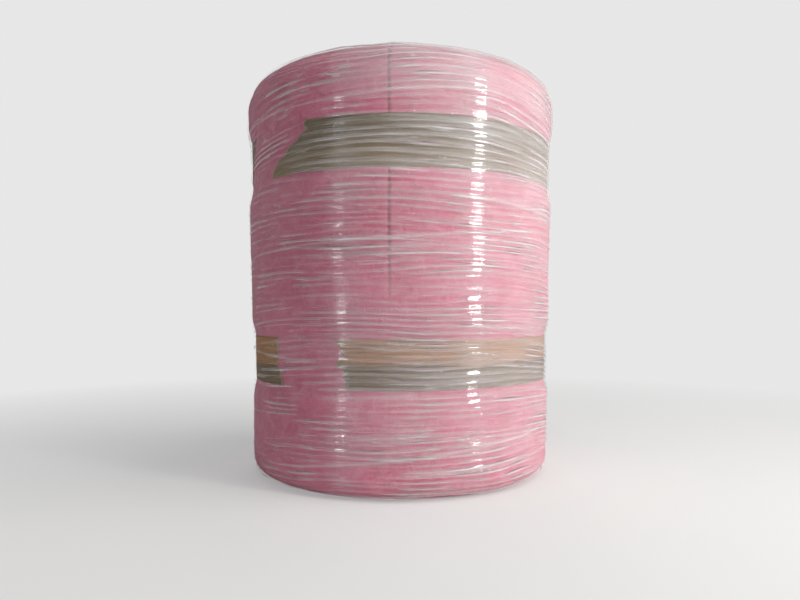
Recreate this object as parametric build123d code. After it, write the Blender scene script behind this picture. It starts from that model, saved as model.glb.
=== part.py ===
from build123d import *
import math
import os

# A roll of glass wool insulation, standing on its end: one long blanket wound on
# itself round an empty eye, held by two strips of kraft tape and wrapped in clear
# stretch film. Sizes are in millimetres.
# Origin: centre of the bottom end, at floor level. +Z runs up the roll's axis.
# The blanket's outer end lies on the side that faces -Y.

# The wound blanket
blanket_width = 914.0  # a 36 in blanket, so the height of the standing roll
roll_radius = 360.0
eye_radius = 33.0  # left when the winding mandrel is drawn out
lap_thickness = 26.0  # one layer of the blanket, as pressed in the roll
rim_round = 70.0  # upper edge, drawn in by the film
foot_round = 45.0  # lower edge, pressed by the roll's own weight
lap_crease_width = 6.0
lap_crease_depth = 5.0
tail_angle = -93.4  # where the blanket's outer end lies, in degrees from +X
tail_crease_width = 4.0
tail_crease_depth = 3.0

# The two strips of kraft tape, and how far they pinch the roll in
tape_width = 102.0
tape_thickness = 0.8
upper_tape_height = 719.0  # middle of the strip above the floor
lower_tape_height = 280.0
pinch = 9.0
pinch_taper = 20.0  # height over which the wool swells out again beside a strip
tape_gap = 147.0  # between the two ends of a strip, straight across
upper_gap_angle = -153.0  # middle of that gap, in degrees from +X
lower_gap_angle = -129.0
upper_end_slant = 62.0  # how far the torn ends lean, over half the strip's width
lower_end_slant = -6.0

# The stretch film
film_thickness = 0.6  # several layers of thin film, taken as one
film_lip = 112.0  # reach of the film over the top, in from the roll's side
film_hem_height = 12.0  # the film stops this far above the floor

# What lies on something soft stays this far from it
seat_clearance = 0.3

# The rounded edges are drawn in straight steps, close enough for soft wool
rim_steps = 5
foot_steps = 3

pinch_radius = roll_radius - pinch
tape_face_radius = pinch_radius + seat_clearance + tape_thickness
flat_radius = roll_radius - rim_round
lip_radius = roll_radius - film_lip
overshoot = 10.0


def rounded_edge(centre, radius, first_angle, steps):
    """Points of a quarter circle, counted up from first_angle in degrees."""
    angles = [math.radians(first_angle + 90 * n / steps) for n in range(steps + 1)]
    return [
        (centre[0] + radius * math.cos(a), centre[1] + radius * math.sin(a))
        for a in angles
    ]


def roll_section(side_points, grow):
    """Half section through the roll, closed at the eye, with its ends and its
    rounded edges moved out by grow. side_points run up the side between them."""
    foot_centre = (roll_radius - foot_round, foot_round)
    rim_centre = (flat_radius, blanket_width - rim_round)
    points = [(eye_radius, -grow)]
    points += rounded_edge(foot_centre, foot_round + grow, -90, foot_steps)
    points += side_points
    points += rounded_edge(rim_centre, rim_round + grow, 0, rim_steps)
    points.append((eye_radius, blanket_width + grow))
    return Plane.XZ * Polygon(*points, align=None)


def wool_section(grow):
    """Section of the wound blanket, waisted where the tape holds it."""
    side_points = []
    for height in (lower_tape_height, upper_tape_height):
        under = height - tape_width / 2
        over = height + tape_width / 2
        side_points += [
            (roll_radius + grow, under - pinch_taper),
            (pinch_radius + grow, under),
            (pinch_radius + grow, over),
            (roll_radius + grow, over + pinch_taper),
        ]
    return roll_section(side_points, grow)


def lap_creases(end_height, inward, reach):
    """The spiral where each lap of the blanket meets the next, on one end.

    It is drawn with two centres: each half turn is a half circle, and the half
    circles on one side stand a quarter lap to the other side of the axis, so the
    line moves out by half a lap in each. Counted inwards from the blanket's
    outer end, the line crosses the tail's radius once in each lap. Only the half
    turns that lie within reach of the axis are marked.
    """
    half_mouth = lap_crease_width / 2
    half_top = half_mouth * (1 + overshoot / lap_crease_depth)
    bottom = end_height + inward * lap_crease_depth
    above = end_height - inward * overshoot
    quarter_lap = lap_thickness / 4
    inner_half_axis = Axis((quarter_lap, 0, 0), (0, 0, -1))
    outer_half_axis = Axis((-quarter_lap, 0, 0), (0, 0, 1))
    turn = Rot(0, 0, tail_angle)
    creases = []
    crossing = roll_radius - lap_thickness
    while crossing - lap_thickness / 2 >= eye_radius:
        crease = Plane.XZ * Polygon(
            (crossing - half_top, above),
            (crossing, bottom),
            (crossing + half_top, above),
            align=None,
        )
        if crossing + half_mouth <= reach:
            creases.append(turn * revolve(crease, inner_half_axis, 180))
        if crossing + lap_thickness / 2 + half_mouth <= reach:
            creases.append(turn * revolve(crease, outer_half_axis, 180))
        crossing -= lap_thickness
    return creases


def tail_crease():
    """The line down the side where the blanket's outer end lies on the roll."""
    skin = wool_section(0) - wool_section(-tail_crease_depth)
    beyond_flat = Plane.XZ * Pos(flat_radius, blanket_width / 2) * Rectangle(
        roll_radius, 2 * blanket_width, align=(Align.MIN, Align.CENTER)
    )
    spread = math.degrees(tail_crease_width / roll_radius)
    crease = revolve(skin & beyond_flat, Axis.Z, spread)
    return Rot(0, 0, tail_angle - spread / 2) * crease


def make_blanket():
    """The wound blanket, turned, with its laps marked on both ends."""
    roll = revolve(wool_section(0), Axis.Z, 360)
    roll -= lap_creases(blanket_width, -1, lip_radius)
    roll -= lap_creases(0, 1, flat_radius)
    roll -= tail_crease()
    return roll


def make_tape(height, gap_angle, end_slant):
    """One strip of kraft tape in its waist, with its ends left apart."""
    inner_radius = pinch_radius + seat_clearance
    ring = Plane.XY.offset(height - tape_width / 2) * (
        Circle(tape_face_radius) - Circle(inner_radius)
    )
    outward = Vector(1, 0, 0).rotate(Axis.Z, gap_angle)
    facing_gap = Plane(origin=(0, 0, height), x_dir=(0, 0, 1), z_dir=outward)
    half_gap = tape_gap / 2
    half_tall = tape_width / 2 + overshoot
    lean = end_slant * half_tall / (tape_width / 2)
    gap = facing_gap * Polygon(
        (-half_tall, -half_gap + lean),
        (half_tall, -half_gap - lean),
        (half_tall, half_gap - lean),
        (-half_tall, half_gap + lean),
        align=None,
    )
    return extrude(ring, tape_width) - extrude(gap, roll_radius + overshoot)


def make_film():
    """The stretch film, straight up the side over both strips of tape, folded
    over the rim and tucked in below."""
    inside = roll_section([], seat_clearance)
    skin = roll_section([], seat_clearance + film_thickness) - inside
    covered = Plane.XZ * Pos(lip_radius, film_hem_height) * Rectangle(
        film_lip + overshoot, blanket_width + overshoot, align=(Align.MIN, Align.MIN)
    )
    return revolve(skin & covered, Axis.Z, 360)


parts = {
    "insulation_blanket": make_blanket(),
    "upper_kraft_tape": make_tape(upper_tape_height, upper_gap_angle, upper_end_slant),
    "lower_kraft_tape": make_tape(lower_tape_height, lower_gap_angle, lower_end_slant),
    "stretch_film": make_film(),
}

os.makedirs("parts", exist_ok=True)
for name, shape in parts.items():
    export_step(shape, f"parts/{name}.step")
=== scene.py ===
import math

import bpy
import numpy as np
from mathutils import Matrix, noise


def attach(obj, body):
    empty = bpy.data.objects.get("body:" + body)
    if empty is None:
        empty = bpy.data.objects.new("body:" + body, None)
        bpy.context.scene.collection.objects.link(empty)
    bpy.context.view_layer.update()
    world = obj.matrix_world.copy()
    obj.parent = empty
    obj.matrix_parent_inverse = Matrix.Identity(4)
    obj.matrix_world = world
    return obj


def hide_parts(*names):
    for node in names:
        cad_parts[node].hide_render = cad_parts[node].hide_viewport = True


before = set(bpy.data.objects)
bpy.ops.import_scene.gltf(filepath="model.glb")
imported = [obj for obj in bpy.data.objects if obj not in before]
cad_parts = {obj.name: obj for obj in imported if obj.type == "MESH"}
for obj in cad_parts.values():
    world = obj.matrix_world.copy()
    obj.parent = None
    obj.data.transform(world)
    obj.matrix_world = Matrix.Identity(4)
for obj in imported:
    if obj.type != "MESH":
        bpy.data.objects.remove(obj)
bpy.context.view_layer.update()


# The wound blanket: one long strip of glass wool, rolled on itself round an empty
# eye. It is soft, so its laps stand up as round pillows on both ends, its edges
# are drawn in, and two strips of tape pinch it.

blanket_width = 0.914
roll_radius = 0.360
eye_radius = 0.033
lap_thickness = 0.026
rim_round = 0.070
foot_round = 0.045
flat_radius = roll_radius - rim_round
foot_radius = roll_radius - foot_round
tail_direction = math.radians(-93.4)
tape_heights = (0.280, 0.719)
tape_width = 0.102
pinch = 0.009
pinch_taper = 0.044  # the waist eases out over this height above and below a strip
pinch_overlap = 0.008  # and starts this far in under the strip's edge
wool_columns = 232


def start_line(name, radius, height):
    """A new piece whose outline is drawn from one point beside the roll's axis."""
    bpy.ops.object.select_all(action="DESELECT")
    bpy.ops.mesh.primitive_plane_add(size=0.01, location=(0, 0, 0))
    piece = bpy.context.object
    piece.name = name
    piece.data.name = name
    bpy.ops.object.mode_set(mode="EDIT")
    bpy.ops.mesh.select_mode(type="VERT")
    bpy.ops.mesh.select_all(action="SELECT")
    bpy.ops.mesh.merge(type="CENTER")
    bpy.ops.transform.translate(value=(radius, 0, height))
    return piece


def draw_line(across, up, steps):
    """The outline goes on straight, in short steps."""
    for _ in range(steps):
        bpy.ops.mesh.extrude_region_move(
            TRANSFORM_OT_translate={"value": (across / steps, 0, up / steps)}
        )


def draw_round(centre_radius, centre_height, steps):
    """The outline goes on a quarter turn round a centre, upwards and inwards."""
    bpy.ops.mesh.spin(
        steps=steps,
        angle=math.radians(90),
        center=(centre_radius, 0, centre_height),
        axis=(0, 1, 0),
    )


def turn_round(columns, sweep=360.0):
    """The outline is turned about the roll's axis, and closed where it meets."""
    bpy.ops.mesh.select_all(action="SELECT")
    bpy.ops.mesh.spin(
        steps=columns, angle=math.radians(-sweep), center=(0, 0, 0), axis=(0, 0, 1)
    )
    bpy.ops.mesh.select_all(action="SELECT")
    bpy.ops.mesh.remove_doubles(threshold=0.0001)
    bpy.ops.mesh.normals_make_consistent(inside=False)
    bpy.ops.object.mode_set(mode="OBJECT")
    bpy.ops.object.shade_smooth()


def corners_of(piece):
    """The places of a piece's points, one row each."""
    places = np.empty(len(piece.data.vertices) * 3)
    piece.data.vertices.foreach_get("co", places)
    return places.reshape(-1, 3)


def set_corners(piece, places):
    """Moves a piece's points to new places."""
    piece.data.vertices.foreach_set("co", places.ravel())
    piece.data.update()


def set_numbers(piece, name, numbers):
    """Keeps one number for each point of a piece, for its material to read."""
    kept = piece.data.attributes.new(name, "FLOAT", "POINT")
    kept.data.foreach_set("value", np.asarray(numbers, np.float32))


def set_vectors(piece, name, rows):
    """Keeps three numbers for each point of a piece, for its material to read."""
    kept = piece.data.attributes.new(name, "FLOAT_VECTOR", "POINT")
    kept.data.foreach_set("vector", np.asarray(rows, np.float32).ravel())


def waves(places, scale, shift=0.0):
    """Smooth irregular waves from -1 to 1, so many to the metre along x, y and z."""
    points = places * np.array(scale) + shift
    return np.array([noise.noise(point) for point in points.tolist()])


def ease(values, low, high):
    """0 below low and 1 above high, with a smooth rise between."""
    share = np.clip((values - low) / (high - low), 0, 1)
    return share * share * (3 - 2 * share)


def turned_from(angles, direction):
    """How far each angle is from a direction, from minus to plus half a turn."""
    return (angles - direction + math.pi) % (2 * math.pi) - math.pi


def share_of_turn(angles, direction):
    """How far each angle is on from a direction, from 0 to 1 for a whole turn."""
    return (turned_from(angles, direction) % (2 * math.pi)) / (2 * math.pi)


def along_outline(radius, height):
    """How far up the roll's outline a point lies, and which way is out from it."""
    in_foot = (height < foot_round) & (radius > foot_radius)
    in_rim = (height > blanket_width - rim_round) & (radius > flat_radius)
    on_top = (height > blanket_width - rim_round) & ~in_rim
    below = (height < foot_round) & ~in_foot
    foot_turn = np.arctan2(height - foot_round, np.maximum(radius - foot_radius, 1e-9))
    rim_turn = np.arctan2(
        height - blanket_width + rim_round, np.maximum(radius - flat_radius, 1e-9)
    )
    turn = np.where(in_foot, foot_turn, np.where(in_rim, rim_turn, 0.0))
    turn = np.where(on_top, math.pi / 2, np.where(below, -math.pi / 2, turn))
    length = foot_round * (np.minimum(turn, 0) + math.pi / 2)
    length += np.clip(height, foot_round, blanket_width - rim_round) - foot_round
    length += rim_round * np.maximum(turn, 0)
    length += np.where(on_top, flat_radius - radius, 0)
    length -= np.where(below, foot_radius - radius, 0)
    return length, np.cos(turn), np.sin(turn)


def waisted(height):
    """How far the tape draws the wool in at each height."""
    drawn = np.zeros_like(height)
    for middle in tape_heights:
        away = np.abs(height - middle) - tape_width / 2
        drawn += 1 - ease(away, -pinch_overlap, pinch_taper)
    return pinch * drawn


def swell(places):
    """Broad soft unevenness of the roll's side, which the tape and film follow."""
    return 0.0016 * waves(places, (5, 5, 4)) + 0.0010 * waves(places, (9, 9, 12), 7.0)


blanket = start_line("wound_glass_wool", eye_radius, 0)
draw_line(foot_radius - eye_radius, 0, steps=56)
draw_round(foot_radius, foot_round, steps=10)
draw_line(0, blanket_width - foot_round - rim_round, steps=108)
draw_round(flat_radius, blanket_width - rim_round, steps=36)
draw_line(eye_radius - flat_radius, 0, steps=80)
draw_line(0, -blanket_width, steps=14)
turn_round(wool_columns)

wool = corners_of(blanket)
wool_radius = np.hypot(wool[:, 0], wool[:, 1])
wool_angle = np.arctan2(wool[:, 1], wool[:, 0])
wool_height = wool[:, 2].copy()
in_eye = wool_radius < eye_radius + 0.0005

# The mesh is drawn closer together where the blanket's outer end lies.
tail_closeness = 0.86
tail_reach = 0.13
from_tail = turned_from(wool_angle, tail_direction)
wool_angle -= tail_closeness * from_tail * np.exp(-((from_tail / tail_reach) ** 2))
wool[:, 0] = wool_radius * np.cos(wool_angle)
wool[:, 1] = wool_radius * np.sin(wool_angle)
from_tail = turned_from(wool_angle, tail_direction)

# Where each point lies between one lap's crease and the next. The laps wander a
# little, but not at the roll's skin or at its eye.
uneven = 0.0060 * waves(wool, (6, 6, 0), 3.4) + 0.0026 * waves(wool, (19, 19, 0), 9.2)
fading = ease(roll_radius - wool_radius, 0.004, 0.030) * ease(wool_radius, 0.04, 0.06)
tail_turn = share_of_turn(wool_angle, tail_direction)
turns_in = (roll_radius - wool_radius + uneven * fading) / lap_thickness + tail_turn
lap_number = np.floor(turns_in)
lap_share = turns_in - lap_number
pillow_fullness = 0.42  # the lower, the flatter a lap's back and the sharper its crease
pillow = np.abs(np.sin(math.pi * lap_share)) ** pillow_fullness

# Each lap stands a little higher or lower than its neighbours.
along_blanket = np.outer(tail_turn - lap_number, (1, 0, 0))
stagger = waves(along_blanket, (2.6, 0, 0), 4.3)

_, out_across, out_up = along_outline(wool_radius, wool_height)
on_top = (out_up > 0.999) & ~in_eye & (wool_height > 0.5)
on_bottom = (out_up < -0.999) & ~in_eye & (wool_height < 0.5)
on_side = ~on_top & ~on_bottom & ~in_eye

# How far the wool stands out. The top's laps are free inside the film's edge, and
# the lower end is pressed flat on the floor between its creases.
free_radius = 0.256
top_crease = 0.0085
foot_crease = 0.006
rim_crease = 0.0060
lap_stagger = 0.0070
eye_drop = 0.007
tuft = waves(wool, (60, 60, 60), 1.3) + 0.7 * waves(wool, (140, 140, 140), 5.2)
open_top = ease(free_radius - wool_radius, 0, 0.02)
top_lift = top_crease * (pillow - 1) + 0.0012
top_lift += open_top * (0.0030 + lap_stagger * stagger)
top_lift += (0.0006 + 0.0012 * open_top) * tuft
top_lift -= eye_drop * (1 - ease(wool_radius, eye_radius, eye_radius + 0.012))
bottom_lift = np.minimum(foot_crease * (pillow - 1) + 0.0005, 0)
rim_share = ease(out_up, 0.10, 0.75)
side_lift = swell(wool) * (1 - rim_share) - waisted(wool_height) - 0.0006
side_lift += 0.0006 * waves(wool, (6, 6, 55), 2.0) + 0.00025 * tuft
side_lift += rim_share * rim_crease * (pillow - 1)

# The blanket's outer end stands up a little to the right of a fine groove. Both die
# away towards the foot, where the end is pressed in.
tail_step = 0.0009
tail_groove = 0.0030
tail_gap = from_tail * roll_radius
step_up = np.where(tail_gap > 0, 0.9, -0.5) * np.exp(-np.abs(tail_gap) / 0.020)
groove = np.exp(-np.abs(tail_gap) / np.where(tail_gap > 0, 0.0010, 0.0045))
tail_shows = ease(wool_height, 0.38, 0.52)
groove *= 0.10 + 0.90 * tail_shows
step_up *= 0.15 + 0.85 * tail_shows
side_lift += (tail_step * step_up - tail_groove * groove) * ease(out_up, -0.6, -0.2)
side_lift = np.where(out_up < -0.95, np.minimum(side_lift, 0), side_lift)
lift = np.select((on_top, on_bottom, on_side), (top_lift, bottom_lift, side_lift), 0.0)

away = wool[:, :2] / wool_radius[:, None]
wool[:, 0] += away[:, 0] * out_across * lift
wool[:, 1] += away[:, 1] * out_across * lift
wool[:, 2] += out_up * lift
wool[:, 2] = np.maximum(wool[:, 2], 0)

# The wall of the eye: the innermost lap, with the blanket's inner end as a step.
inner_end = math.radians(40)
inner_step = 0.006
eye_wall = eye_radius + 0.0004 + inner_step * share_of_turn(wool_angle, inner_end)
eye_wall += 0.0012 * (1 + waves(wool, (40, 40, 9), 6.0))
near_eye = 1 - ease(wool_radius, eye_radius, eye_radius + 0.020)
wool[:, :2] += away * ((eye_wall - eye_radius) * near_eye)[:, None]
set_corners(blanket, wool)

# For the wool's colour: painted shade, deepest in the creases between the laps on the ends
# and rim, and also along the tail's groove and inside the eye; and each point's place in
# the lap.
groove_shade = 0.4
eye_shade = 0.6
end_share = np.select((on_top | on_bottom, on_side), (1.0, rim_share), 0.0)
crease_shade = end_share * (1 - pillow)
crease_shade = np.maximum(crease_shade, on_side * groove * groove_shade)
crease_shade = np.maximum(crease_shade, in_eye * eye_shade)
set_numbers(blanket, "crease", crease_shade)
around_lap = 2 * math.pi * lap_share
set_vectors(
    blanket, "lap", np.column_stack((np.cos(around_lap), np.sin(around_lap), end_share))
)


def new_material(name):
    """A material with its one shader and output, and a way to add and join nodes."""
    material = bpy.data.materials.new(name)
    material.use_nodes = True
    nodes = material.node_tree.nodes
    shader = next(node for node in nodes if node.type == "BSDF_PRINCIPLED")
    return material, nodes, material.node_tree.links, shader


def add_kept(nodes, name, output="Fac"):
    """What a piece keeps for each of its points: a number, or else a "Vector"."""
    kept = nodes.new("ShaderNodeAttribute")
    kept.attribute_name = name
    return kept.outputs[output]


def add_noise(nodes, links, source, scale, detail, stretch=(1, 1, 1), warp=0.0):
    """A noise pattern on the given coordinates, stretched along x, y or z."""
    mapping = nodes.new("ShaderNodeMapping")
    mapping.inputs["Scale"].default_value = stretch
    pattern = nodes.new("ShaderNodeTexNoise")
    pattern.inputs["Scale"].default_value = scale
    pattern.inputs["Detail"].default_value = detail
    pattern.inputs["Distortion"].default_value = warp
    links.new(source, mapping.inputs["Vector"])
    links.new(mapping.outputs["Vector"], pattern.inputs["Vector"])
    return pattern.outputs["Fac"]


def add_range(nodes, links, value, low, high, new_low, new_high):
    """The value moved from one range to another, and held there."""
    moved = nodes.new("ShaderNodeMapRange")
    moved.inputs["From Min"].default_value = low
    moved.inputs["From Max"].default_value = high
    moved.inputs["To Min"].default_value = new_low
    moved.inputs["To Max"].default_value = new_high
    links.new(value, moved.inputs["Value"])
    return moved.outputs["Result"]


def add_maths(nodes, links, operation, first, second=0.0):
    """Two values, or a value and a number, taken together, or a function of one."""
    maths = nodes.new("ShaderNodeMath")
    maths.operation = operation
    for socket, given in zip(maths.inputs, (first, second)):
        if isinstance(given, (int, float)):
            socket.default_value = given
        else:
            links.new(given, socket)
    return maths.outputs["Value"]


def add_mix(nodes, links, share, first, second):
    """Two colours mixed by a share, each a plain colour or another node's."""
    mix = nodes.new("ShaderNodeMix")
    mix.data_type = "RGBA"
    sockets = (mix.inputs[0], mix.inputs[6], mix.inputs[7])
    for socket, given in zip(sockets, (share, first, second)):
        if isinstance(given, (int, float, tuple)):
            socket.default_value = given
        else:
            links.new(given, socket)
    return mix.outputs[2]


def add_shade(nodes, links, first, second, pattern, low, high, new_low, new_high):
    """Two colours mixed by a pattern that is moved from one range to another."""
    share = add_range(nodes, links, pattern, low, high, new_low, new_high)
    return add_mix(nodes, links, share, first, second)


def add_bump(nodes, links, height, strength, distance, under=None):
    """A fine relief from a height, laid over another one if there is one."""
    bump = nodes.new("ShaderNodeBump")
    bump.inputs["Strength"].default_value = strength
    bump.inputs["Distance"].default_value = distance
    links.new(height, bump.inputs["Height"])
    if under is not None:
        links.new(under, bump.inputs["Normal"])
    return bump.outputs["Normal"]


wool_pink = (0.63, 0.165, 0.260, 1)
wool_pale = (0.78, 0.38, 0.46, 1)
wool_deep = (0.52, 0.105, 0.175, 1)
wool_shade = (0.24, 0.040, 0.070, 1)

wool_look, nodes, links, shader = new_material("pink_glass_wool")
where = nodes.new("ShaderNodeTexCoord").outputs["Object"]
lap_parts = nodes.new("ShaderNodeSeparateXYZ")
links.new(add_kept(nodes, "lap", "Vector"), lap_parts.inputs["Vector"])
crease = add_kept(nodes, "crease")
blotches = add_noise(nodes, links, where, 7, 4, warp=0.4)
clumps = add_noise(nodes, links, where, 34, 6, warp=0.8)
fibres = add_noise(nodes, links, where, 190, 8, warp=1.6)
threads = add_noise(nodes, links, where, 420, 6, warp=2.5)

# The fine layers of wool within each lap, which show on the roll's ends.
layers_in_lap = 6.0
lap_cosine, lap_sine, on_end = (lap_parts.outputs[part] for part in "XYZ")
lap_angle = add_maths(nodes, links, "ARCTAN2", lap_sine, lap_cosine)
wander = add_range(nodes, links, clumps, 0.3, 0.7, -1.6, 1.6)
layers = add_maths(nodes, links, "MULTIPLY", lap_angle, layers_in_lap)
layers = add_maths(nodes, links, "ADD", layers, wander)
layers = add_maths(nodes, links, "SINE", layers)
layers = add_maths(nodes, links, "MULTIPLY", layers, on_end)

colour = add_shade(nodes, links, wool_pink, wool_deep, blotches, 0.35, 0.65, 0, 0.6)
colour = add_shade(nodes, links, colour, wool_pale, clumps, 0.45, 0.75, 0, 0.45)
colour = add_shade(nodes, links, colour, wool_pale, fibres, 0.50, 0.72, 0, 0.45)
colour = add_shade(nodes, links, colour, wool_deep, layers, -1, 0.2, 0.35, 0)
# Painted shade: the wool darkens in the creases, along the groove and inside the eye.
colour = add_shade(nodes, links, colour, wool_shade, crease, 0.15, 1, 0, 0.9)
links.new(colour, shader.inputs["Base Color"])
shader.inputs["Roughness"].default_value = 0.95
shader.inputs["Specular IOR Level"].default_value = 0.2
shader.inputs["Sheen Weight"].default_value = 0.25
shader.inputs["Sheen Roughness"].default_value = 0.6
relief = add_bump(nodes, links, layers, 0.5, 0.0012)
relief = add_bump(nodes, links, clumps, 0.6, 0.004, relief)
relief = add_bump(nodes, links, fibres, 0.7, 0.0015, relief)
relief = add_bump(nodes, links, threads, 0.5, 0.0006, relief)
links.new(relief, shader.inputs["Normal"])
blanket.data.materials.append(wool_look)

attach(blanket, "root")
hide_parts("insulation_blanket")


# Two strips of kraft tape: wide brown paper, drawn tight round the roll while it is
# squeezed, each with its torn ends left apart. The paper is crinkled, and follows
# the soft wool under it.

tape_clearance = 0.0003
tape_radius = roll_radius - pinch + tape_clearance
tape_thickness = 0.0008
tape_gap = 0.147
tape_rows = 28
tape_columns = 230
end_reach = 0.20  # a torn end's lean dies away over this length of the strip
tear_depth = 0.022


def lay_tape(name, middle, gap_direction, slant, first_shift, last_shift, seed):
    """One strip, turned round the roll from one torn end to the other. Each end leans
    by slant over half the width, and is moved round by its shift."""
    half_gap = math.asin(tape_gap / 2 / tape_radius)
    strip = start_line(name, tape_radius, middle - tape_width / 2)
    draw_line(0, tape_width, steps=tape_rows)
    turn_round(tape_columns, 360 - 2 * math.degrees(half_gap))
    tape = corners_of(strip)
    run = np.arctan2(tape[:, 1], tape[:, 0]) % (2 * math.pi)
    sweep = 2 * math.pi - 2 * half_gap
    run = np.where(run > sweep + 0.001, 0, run)
    up = tape[:, 2] - middle
    torn = np.outer(tape[:, 2], (1, 0, 0))
    first_tear = waves(torn, (32, 0, 0), seed) + 0.5 * waves(torn, (110, 0, 0), seed + 3)
    last_tear = waves(torn, (30, 0, 0), seed + 9) + 0.5 * waves(torn, (120, 0, 0), seed + 5)
    from_first = run * tape_radius
    from_last = (sweep - run) * tape_radius
    lean = slant * up / (tape_width / 2)
    near_first = lean + first_shift + tear_depth * first_tear
    near_first *= 1 - ease(from_first, 0, end_reach)
    near_last = lean + last_shift + tear_depth * last_tear
    near_last *= 1 - ease(from_last, 0, end_reach)
    angle = gap_direction + half_gap + run + (near_first + near_last) / tape_radius
    flat_place = np.column_stack(
        (tape_radius * np.cos(angle), tape_radius * np.sin(angle), tape[:, 2])
    )
    crinkle = 0.00022 * waves(flat_place, (14, 14, 90), seed)
    crinkle += 0.00016 * waves(flat_place, (40, 40, 60), seed + 2)
    radius = tape_radius + swell(flat_place) + crinkle
    edge_wave = 0.0016 * waves(flat_place, (7, 7, 0), seed + 4)
    edge_wave += 0.0006 * waves(flat_place, (30, 30, 0), seed + 6)
    tape[:, 0] = radius * np.cos(angle)
    tape[:, 1] = radius * np.sin(angle)
    tape[:, 2] = middle + up + edge_wave * (up / (tape_width / 2))
    set_corners(strip, tape)
    set_numbers(strip, "torn_edge", np.exp(-np.minimum(from_first, from_last) / 0.006))
    set_numbers(strip, "up_strip", up / tape_width + 0.5)
    thickness = strip.modifiers.new("thickness", "SOLIDIFY")
    thickness.thickness = tape_thickness
    thickness.offset = 1
    bpy.ops.object.modifier_apply(modifier=thickness.name)
    return strip


upper_tape = lay_tape(
    "upper_kraft_strip", tape_heights[1], gap_direction=math.radians(-153),
    slant=0.055, first_shift=0.062, last_shift=0, seed=11.3,
)
lower_tape = lay_tape(
    "lower_kraft_strip", tape_heights[0], gap_direction=math.radians(-129),
    slant=-0.006, first_shift=0.040, last_shift=0.020, seed=31.4,
)


def kraft(name, tan, second_tone, tone_from, tone_to):
    """Brown paper: fine fibres, crinkles along the strip with painted shade in their
    hollows, and a second colour that takes over towards its upper edge.
    """
    material, nodes, links, shader = new_material(name)
    where = nodes.new("ShaderNodeTexCoord").outputs["Object"]
    torn = add_kept(nodes, "torn_edge")
    up_strip = add_kept(nodes, "up_strip")
    fibres = add_noise(nodes, links, where, 260, 8, (1, 1, 2), 0.6)
    flecks = add_noise(nodes, links, where, 70, 5, (1, 1, 2))
    clouds = add_noise(nodes, links, where, 5, 3, (1, 1, 2))
    crinkles = add_noise(nodes, links, where, 9, 6, (1, 1, 24), 0.3)
    unevenly = add_range(nodes, links, clouds, 0.3, 0.7, -0.10, 0.10)
    tone_share = add_maths(nodes, links, "ADD", up_strip, unevenly)
    dark = (tan[0] * 0.55, tan[1] * 0.52, tan[2] * 0.50, 1)
    pale = (0.50, 0.42, 0.29, 1)
    colour = add_shade(nodes, links, tan, second_tone, tone_share, tone_from, tone_to, 0, 1)
    colour = add_shade(nodes, links, colour, dark, flecks, 0.50, 0.75, 0, 0.35)
    colour = add_shade(nodes, links, colour, pale, fibres, 0.52, 0.78, 0, 0.4)
    # Painted shade in the hollows of the crinkles.
    colour = add_shade(nodes, links, colour, dark, crinkles, 0.34, 0.50, 0.40, 0)
    colour = add_shade(nodes, links, colour, pale, torn, 0.3, 1, 0, 0.7)
    links.new(colour, shader.inputs["Base Color"])
    shader.inputs["Roughness"].default_value = 0.78
    shader.inputs["Specular IOR Level"].default_value = 0.35
    relief = add_bump(nodes, links, crinkles, 0.8, 0.0015)
    relief = add_bump(nodes, links, fibres, 0.4, 0.0003, relief)
    links.new(relief, shader.inputs["Normal"])
    return material


# The upper strip is darker towards its upper edge; the lower one is darker below its middle
# and orange above it.
dull_brown = (0.25, 0.188, 0.110, 1)
dusky_brown = (0.175, 0.140, 0.090, 1)
deep_brown = (0.175, 0.118, 0.066, 1)
orange_brown = (0.40, 0.190, 0.074, 1)
upper_paper = kraft(
    "upper_kraft_paper", dull_brown, dusky_brown, tone_from=0.35, tone_to=0.75
)
lower_paper = kraft(
    "lower_kraft_paper", deep_brown, orange_brown, tone_from=0.42, tone_to=0.52
)
upper_tape.data.materials.append(upper_paper)
lower_tape.data.materials.append(lower_paper)
for strip, node in ((upper_tape, "upper_kraft_tape"), (lower_tape, "lower_kraft_tape")):
    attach(strip, "root")
    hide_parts(node)


# The stretch film: clear plastic film, wound round the roll in several layers and
# pulled tight. It lies in fine level wrinkles, dips over the tape, is folded in
# pleats over the upper edge, and stops just short of the floor.

film_thickness = 0.0006
film_hem_height = 0.012
film_lip = 0.112  # how far the film reaches in over the top from the roll's side
film_lip_radius = roll_radius - film_lip
film_stand_off = 0.0007
film_columns = 140
wrinkle_spacing = 0.0130
wrinkle_height = 0.0017
long_fold_height = 0.0012
fine_wrinkle_height = 0.0004
cord_height = 0.0011  # where an edge of a layer is drawn together
cord_width = 0.0032
hem_width = 0.006
rim_pleat = 0.0018
lip_pleat = 0.0042
waist_follow = 0.70  # the film bridges the rest of each waist

hem_turn = math.asin((foot_round - film_hem_height) / foot_round)
film = start_line(
    "clear_stretch_film", foot_radius + foot_round * math.cos(hem_turn), film_hem_height
)
bpy.ops.mesh.spin(
    steps=10, angle=hem_turn, center=(foot_radius, 0, foot_round), axis=(0, 1, 0)
)
draw_line(0, blanket_width - foot_round - rim_round, steps=300)
draw_round(flat_radius, blanket_width - rim_round, steps=30)
draw_line(film_lip_radius - flat_radius, 0, steps=8)
turn_round(film_columns)

skin = corners_of(film)
skin_radius = np.hypot(skin[:, 0], skin[:, 1])
skin_angle = np.arctan2(skin[:, 1], skin[:, 0])
skin_height = skin[:, 2].copy()
skin_length, skin_across, skin_up = along_outline(skin_radius, skin_height)
to_top = ease(skin_up, 0.15, 0.85)
in_lip = ease(flat_radius - skin_radius, -0.004, flat_radius - film_lip_radius)
front_angle = np.degrees(turned_from(skin_angle, math.radians(-90)))

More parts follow.
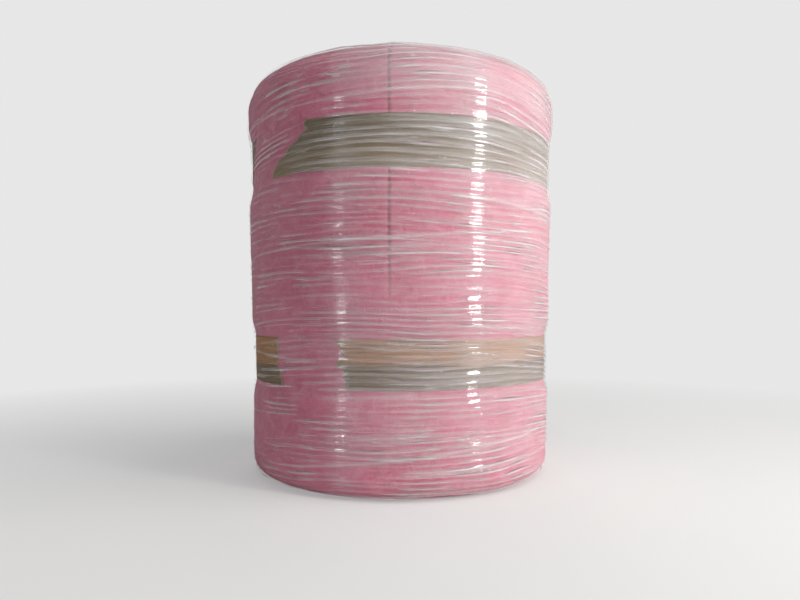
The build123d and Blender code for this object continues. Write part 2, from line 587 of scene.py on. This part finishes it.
# The film is wound on a slight slope, so its wrinkles climb on one side.
climb = 0.020 + 0.034 * ease(skin_length, 0.50, 0.98)
climb *= np.sin(skin_angle - math.radians(-175))
rolled = np.column_stack((skin[:, 0], skin[:, 1], skin_length))
climb += 0.010 * waves(rolled, (2.2, 2.2, 4.0), 21.0)
wrapped = np.column_stack((skin[:, 0], skin[:, 1], skin_length - climb))


def folds(places, scale, shift, width):
    """Narrow crests, 1 along each fold of the film and 0 between the folds."""
    return np.clip(1 - np.abs(waves(places, scale, shift)) / width, 0, 1)


# The wrinkles: level crests that swell and fade, with longer folds among them.
wrinkle_turn = wrapped[:, 2] / wrinkle_spacing
wrinkle_turn += 1.30 * waves(wrapped, (2.6, 2.6, 9), 40.4)
wrinkle_turn += 0.48 * waves(wrapped, (6, 6, 26), 13.6)
wrinkle_turn *= 2 * math.pi
wrinkle_size = 0.35 + 0.65 * ease(waves(wrapped, (6.0, 6.0, 30), 23.3), -0.25, 0.25)
crest = wrinkle_size * (0.5 + 0.5 * np.cos(wrinkle_turn)) ** 1.5
long_fold = folds(wrapped, (2.0, 2.0, 22), 3.7, 0.16)
long_fold *= ease(waves(wrapped, (5.0, 5.0, 9), 33.1), 0.00, 0.32)
long_fold *= 0.15 + 0.85 * ease(np.abs(front_angle), 12, 34)
wrinkles = wrinkle_height * crest + long_fold_height * long_fold
wrinkles += fine_wrinkle_height * (1 + waves(wrapped, (5, 5, 95), 53.2))

# The edges of the film's layers, where it is drawn together into a fine cord: how far
# up the outline each lies, its slope, from where to where it goes, in degrees round
# from the front, and how much cloudier the film is above it.
film_edges = (
    (0.115, 0.10, -60, 160, 0.04),
    (0.085, 0.03, -5, 95, 0.03),
    (0.300, -0.05, -170, -20, 0.03),
    (0.560, 0.07, -175, 60, -0.02),
    (0.640, -0.04, 10, 175, 0.04),
    (0.835, 0.05, -120, 30, 0.05),
    (1.060, 0.85, -68, -16, 0.05),
)
layered = np.zeros(len(skin))
roped = np.zeros(len(skin))
for height_there, slope, from_angle, to_angle, extra in film_edges:
    line = height_there + slope * np.radians(front_angle) * roll_radius
    line += 0.006 * waves(rolled, (4, 4, 0), height_there * 50)
    above = skin_length - line
    reach = ease(front_angle, from_angle, from_angle + 15)
    reach *= 1 - ease(front_angle, to_angle - 15, to_angle)
    layered += extra * reach * ease(above, -0.002, 0.003)
    roped = np.maximum(roped, reach * np.exp(-((above / cord_width) ** 2)))
hem_line = np.exp(-(((skin_length - skin_length.min()) / hem_width) ** 2))
lip_line = np.exp(-(((skin_length.max() - skin_length) / hem_width) ** 2))
roped = np.maximum(roped, np.maximum(hem_line, lip_line))

# Pleats where the film is folded in over the upper edge.
pleat_place = np.column_stack(
    (np.cos(skin_angle) * 2.6, np.sin(skin_angle) * 2.6, 0.6 * in_lip)
)
pleats = folds(pleat_place, (1, 1, 1), 5.0, 0.30)
pleats += 0.7 * folds(pleat_place, (2.1, 2.1, 1), 15.0, 0.32)
pleat_lift = pleats * (rim_pleat * to_top + lip_pleat * in_lip)

# How far the film stands out from the roll's plain outline, and its uneven edges.
tail_bulge = 0.0013 * np.exp(-((turned_from(skin_angle, tail_direction) * 8) ** 2))
over = film_stand_off + swell(skin) * (1 - to_top) - waist_follow * waisted(skin_height)
over += (tail_bulge + wrinkles) * (1 - 0.6 * in_lip) + pleat_lift + cord_height * roped
over += in_lip * (0.0030 + 0.0026 * (1 + waves(skin, (9, 9, 0), 8.3)) * in_lip)
hem = 1 - ease(skin_height, film_hem_height, film_hem_height + 0.03)
over += hem * 0.0010 * (1 + waves(skin, (12, 12, 0), 18.0))
lip_edge = 0.010 * waves(skin, (8, 8, 0), 28.0) + 0.005 * waves(skin, (25, 25, 0), 2.0)
lip_edge *= in_lip
outward = skin[:, :2] / skin_radius[:, None]
skin[:, :2] += outward * (skin_across * over - lip_edge * (skin_up > 0.99))[:, None]
skin[:, 2] += skin_up * over + hem * 0.004 * waves(skin, (6, 6, 0), 38.0)
skin[:, 2] = np.maximum(skin[:, 2], 0.003)
set_corners(film, skin)

# How cloudy the film is: where layers lap over, along their edges and on folds. Painted
# light is laid on this: an upright band of painted glow on each side, where the narrow
# lamps draw their lines, more haze on the lit right side, and painted shade where the film
# is made clearest, on the left and most of all at its upper left.
left_glow_band = -19.5
right_glow_band = 25.5
haze_and_painted_light = 0.008 + 0.022 * (1 + waves(rolled, (3, 3, 5), 50.0))
haze_and_painted_light += 0.05 * ease(front_angle, 25, 60) * (1 - ease(front_angle, 110, 150))
haze_and_painted_light += 0.08 * np.exp(-(((front_angle - left_glow_band) / 6) ** 2))
haze_and_painted_light += 0.05 * np.exp(-(((front_angle - right_glow_band) / 5) ** 2))
haze_and_painted_light += 0.05 * long_fold
haze_and_painted_light += 0.05 * ease(skin_length, 0.80, 0.88) * ease(np.abs(front_angle + 75), 45, 80)
haze_and_painted_light += 0.03 * to_top
haze_and_painted_light += layered + 0.20 * roped + 0.08 * np.clip(pleats, 0, 1) * in_lip
painted_shade_side = ease(front_angle, -110, -75) * (1 - ease(front_angle, -38, 0))
haze_and_painted_light -= painted_shade_side * (0.12 + 0.10 * ease(skin_length, 0.74, 0.84)) * (1 - in_lip)
set_numbers(film, "haze_and_painted_light", haze_and_painted_light)
set_vectors(film, "wrapped", wrapped)
set_numbers(film, "wrinkle_turn", wrinkle_turn)
set_numbers(film, "wrinkle_size", wrinkle_size)

thickness = film.modifiers.new("thickness", "SOLIDIFY")
thickness.thickness = film_thickness
thickness.offset = 1
bpy.context.view_layer.objects.active = film
bpy.ops.object.modifier_apply(modifier=thickness.name)

film_look, nodes, links, shader = new_material("clear_film")
on_film = add_kept(nodes, "wrapped", "Vector")
long_streaks = add_noise(nodes, links, on_film, 1, 2, (2.0, 2.0, 48), 0.10)
fine_streaks = add_noise(nodes, links, on_film, 1, 2, (3.5, 3.5, 125), 0.10)
hair_streaks = add_noise(nodes, links, on_film, 1, 2, (7, 7, 330), 0.10)
patches = add_noise(nodes, links, on_film, 1, 3, (5, 5, 9))

# Thin sharp folds, here and there, drawn as pale lines of painted highlight and as a fine
# relief.
fold_waves = add_noise(nodes, links, on_film, 1, 2, (3.2, 3.2, 62), 0.1)
fold_glints = add_maths(nodes, links, "SUBTRACT", fold_waves, 0.5)
fold_glints = add_maths(nodes, links, "ABSOLUTE", fold_glints)
fold_glints = add_range(nodes, links, fold_glints, 0, 0.016, 1, 0)
fold_share = add_noise(nodes, links, on_film, 1, 3, (7, 7, 30))
fold_share = add_range(nodes, links, fold_share, 0.42, 0.60, 0, 1)
fold_glints = add_maths(nodes, links, "MULTIPLY", fold_glints, fold_share)

# Each wrinkle has a painted highlight, pale along its crest, and painted shade, deep pink
# beside it, and both are broken into dashes.
turn_on = add_kept(nodes, "wrinkle_turn")
size_on = add_kept(nodes, "wrinkle_size")
crest_highlight = add_maths(nodes, links, "COSINE", turn_on)
crest_highlight = add_range(nodes, links, crest_highlight, 0.58, 0.99, 0, 1)
crest_highlight = add_maths(nodes, links, "MULTIPLY", crest_highlight, size_on)
under = add_maths(nodes, links, "SINE", turn_on)
under = add_range(nodes, links, under, 0.62, 0.99, 0, 1)
under = add_maths(nodes, links, "MULTIPLY", under, size_on)
dashes = add_noise(nodes, links, on_film, 1, 2, (13, 13, 80))
dashes = add_range(nodes, links, dashes, 0.36, 0.58, 0.18, 1)
broken = add_range(nodes, links, fold_share, 0, 1, 0.38, 1)
broken = add_maths(nodes, links, "MULTIPLY", broken, dashes)
crest_highlight = add_maths(nodes, links, "MULTIPLY", crest_highlight, broken)
under = add_maths(nodes, links, "MULTIPLY", under, broken)

# How much of the film is seen: its haze, with the painted highlights, painted shade and
# painted glow, added up, and kept between nearly clear and milky.
clearest = 0.015
cloudiest = 0.75
alpha = add_range(nodes, links, long_streaks, 0.38, 0.66, -0.02, 0.03)
for alpha_part in (
    add_maths(nodes, links, "MULTIPLY", crest_highlight, 0.43),
    add_maths(nodes, links, "MULTIPLY", under, 0.54),
    add_kept(nodes, "haze_and_painted_light"),
    add_range(nodes, links, fine_streaks, 0.38, 0.72, -0.02, 0.05),
    add_range(nodes, links, hair_streaks, 0.40, 0.75, -0.02, 0.07),
    add_maths(nodes, links, "MULTIPLY", fold_glints, 0.22),
):
    alpha = add_maths(nodes, links, "ADD", alpha, alpha_part)
alpha = add_range(nodes, links, alpha, clearest, cloudiest, clearest, cloudiest)
links.new(alpha, shader.inputs["Alpha"])

film_grey = (0.80, 0.76, 0.78, 1)
film_white = (0.92, 0.90, 0.91, 1)
painted_shade_pink = (0.22, 0.032, 0.064, 1)
tint = add_shade(nodes, links, film_grey, film_white, patches, 0.35, 0.65, 0, 1)
# Painted shade beside each crest, deep pink, laid over the film's own grey and white.
painted_shade_share = add_maths(nodes, links, "MULTIPLY", under, 0.9)
tint = add_mix(nodes, links, painted_shade_share, tint, painted_shade_pink)
links.new(tint, shader.inputs["Base Color"])
rough = add_range(nodes, links, patches, 0.3, 0.7, 0.03, 0.07)
links.new(rough, shader.inputs["Roughness"])
shader.inputs["IOR"].default_value = 1.7
shader.inputs["Specular IOR Level"].default_value = 0.9
relief = add_bump(nodes, links, long_streaks, 0.5, 0.006)
relief = add_bump(nodes, links, fine_streaks, 0.4, 0.0026, relief)
relief = add_bump(nodes, links, fold_glints, 0.7, 0.0012, relief)
relief = add_bump(nodes, links, hair_streaks, 0.3, 0.0012, relief)
links.new(relief, shader.inputs["Normal"])
film.data.materials.append(film_look)

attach(film, "root")
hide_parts("stretch_film")


# The floor: a wide plain pale sheet, level with the roll's lower end. It keeps the
# roll's shadow, and farther out it fades into the pale background.

pale_grey = (0.80, 0.80, 0.80, 1)
floor_pale = (0.80, 0.80, 0.795, 1)
floor_dull = (0.76, 0.76, 0.755, 1)
bpy.ops.object.select_all(action="DESELECT")
bpy.ops.mesh.primitive_circle_add(
    vertices=96, radius=14, fill_type="TRIFAN", location=(0, 0, -0.0005)
)
floor = bpy.context.object
floor.name = "floor"
bpy.ops.object.transform_apply(location=True, rotation=False, scale=False)
floor_look, nodes, links, shader = new_material("pale_floor")
where = nodes.new("ShaderNodeTexCoord").outputs["Object"]
length = nodes.new("ShaderNodeVectorMath")
length.operation = "LENGTH"
links.new(where, length.inputs[0])
mottle = add_noise(nodes, links, where, 3, 5)
colour = add_mix(nodes, links, mottle, floor_dull, floor_pale)
links.new(colour, shader.inputs["Base Color"])
shader.inputs["Roughness"].default_value = 0.8
far_off = nodes.new("ShaderNodeEmission")
far_off.inputs["Color"].default_value = pale_grey
fade = nodes.new("ShaderNodeMixShader")
rays = nodes.new("ShaderNodeLightPath")
faded = add_range(nodes, links, length.outputs["Value"], 0.6, 2.4, 0.40, 1)
faded = add_maths(nodes, links, "MULTIPLY", faded, rays.outputs["Is Camera Ray"])
links.new(faded, fade.inputs[0])
links.new(shader.outputs[0], fade.inputs[1])
links.new(far_off.outputs[0], fade.inputs[2])
output = next(node for node in nodes if node.type == "OUTPUT_MATERIAL")
links.new(fade.outputs[0], output.inputs["Surface"])
floor.data.materials.append(floor_look)


# The light: a soft pale room, a wide lamp on the right and weaker ones above and
# behind, which the film doesn't mirror, and a narrow lamp on each side that draws a
# bright line down the film.

world = bpy.data.worlds.new("pale_room")
bpy.context.scene.world = world
world.use_nodes = True
nodes, links = world.node_tree.nodes, world.node_tree.links
room = next(node for node in nodes if node.type == "BACKGROUND")
room.inputs["Color"].default_value = (0.93, 0.96, 1.0, 1)
room.inputs["Strength"].default_value = 0.155
seen_room = nodes.new("ShaderNodeBackground")
seen_room.inputs["Color"].default_value = pale_grey
rays = nodes.new("ShaderNodeLightPath")
either = add_maths(
    nodes, links, "MAXIMUM", rays.outputs["Is Camera Ray"], rays.outputs["Is Glossy Ray"]
)
either = add_maths(nodes, links, "MAXIMUM", either, rays.outputs["Is Transmission Ray"])
choose = nodes.new("ShaderNodeMixShader")
links.new(either, choose.inputs[0])
links.new(room.outputs[0], choose.inputs[1])
links.new(seen_room.outputs[0], choose.inputs[2])
output = next(node for node in nodes if node.type == "OUTPUT_WORLD")
links.new(choose.outputs[0], output.inputs["Surface"])


def stand_lamp(name, side, away, height, wide, tall, power, colour, mirrored=False):
    """A flat soft lamp turned to the roll's middle, side degrees right of the front."""
    bpy.ops.object.select_all(action="DESELECT")
    turn = math.radians(side)
    tip = math.atan2(height - blanket_width / 2, away)
    bpy.ops.object.light_add(
        type="AREA",
        location=(away * math.sin(turn), -away * math.cos(turn), height),
        rotation=(math.pi / 2 - tip, 0, turn),
    )
    lamp = bpy.context.object
    lamp.name = name
    lamp.data.shape = "RECTANGLE"
    lamp.data.size = wide
    lamp.data.size_y = tall
    lamp.data.energy = power
    lamp.data.color = colour
    lamp.visible_glossy = mirrored


stand_lamp(
    "narrow_lamp", side=53, away=2.5, height=1.05, wide=0.34, tall=0.30, power=25,
    colour=(1.0, 0.98, 0.95), mirrored=True,
)
stand_lamp(
    "key_lamp", side=69, away=3.0, height=2.3, wide=3.0, tall=3.0, power=97,
    colour=(1.0, 0.97, 0.93),
)
stand_lamp(
    "side_lamp", side=-40, away=2.6, height=0.48, wide=0.28, tall=0.30, power=5.0,
    colour=(0.92, 0.96, 1.0), mirrored=True,
)
stand_lamp(
    "top_lamp", side=25, away=0.9, height=3.4, wide=2.0, tall=2.0, power=20,
    colour=(1.0, 0.99, 0.97),
)
stand_lamp(
    "back_lamp", side=180, away=3.0, height=2.4, wide=1.6, tall=1.6, power=14,
    colour=(1.0, 1.0, 1.0),
)


# The camera: where the photographer stood, a little under half the roll's height
# above its foot and 1.7 m from its axis, looking slightly down, with a longer lens.

camera_away = 1.72
camera_height = 0.395
looking_down = math.radians(5)
image_width = 800
focal_pixels = 690
film_gauge = 36
bpy.ops.object.select_all(action="DESELECT")
bpy.ops.object.camera_add(
    location=(0, -camera_away, camera_height),
    rotation=(math.pi / 2 - looking_down, 0, 0),
)
camera = bpy.context.object
camera.data.sensor_width = film_gauge
camera.data.lens = film_gauge * focal_pixels / image_width
camera.data.shift_y = 0.085
bpy.context.scene.camera = camera

bpy.context.scene.view_settings.view_transform = "Standard"
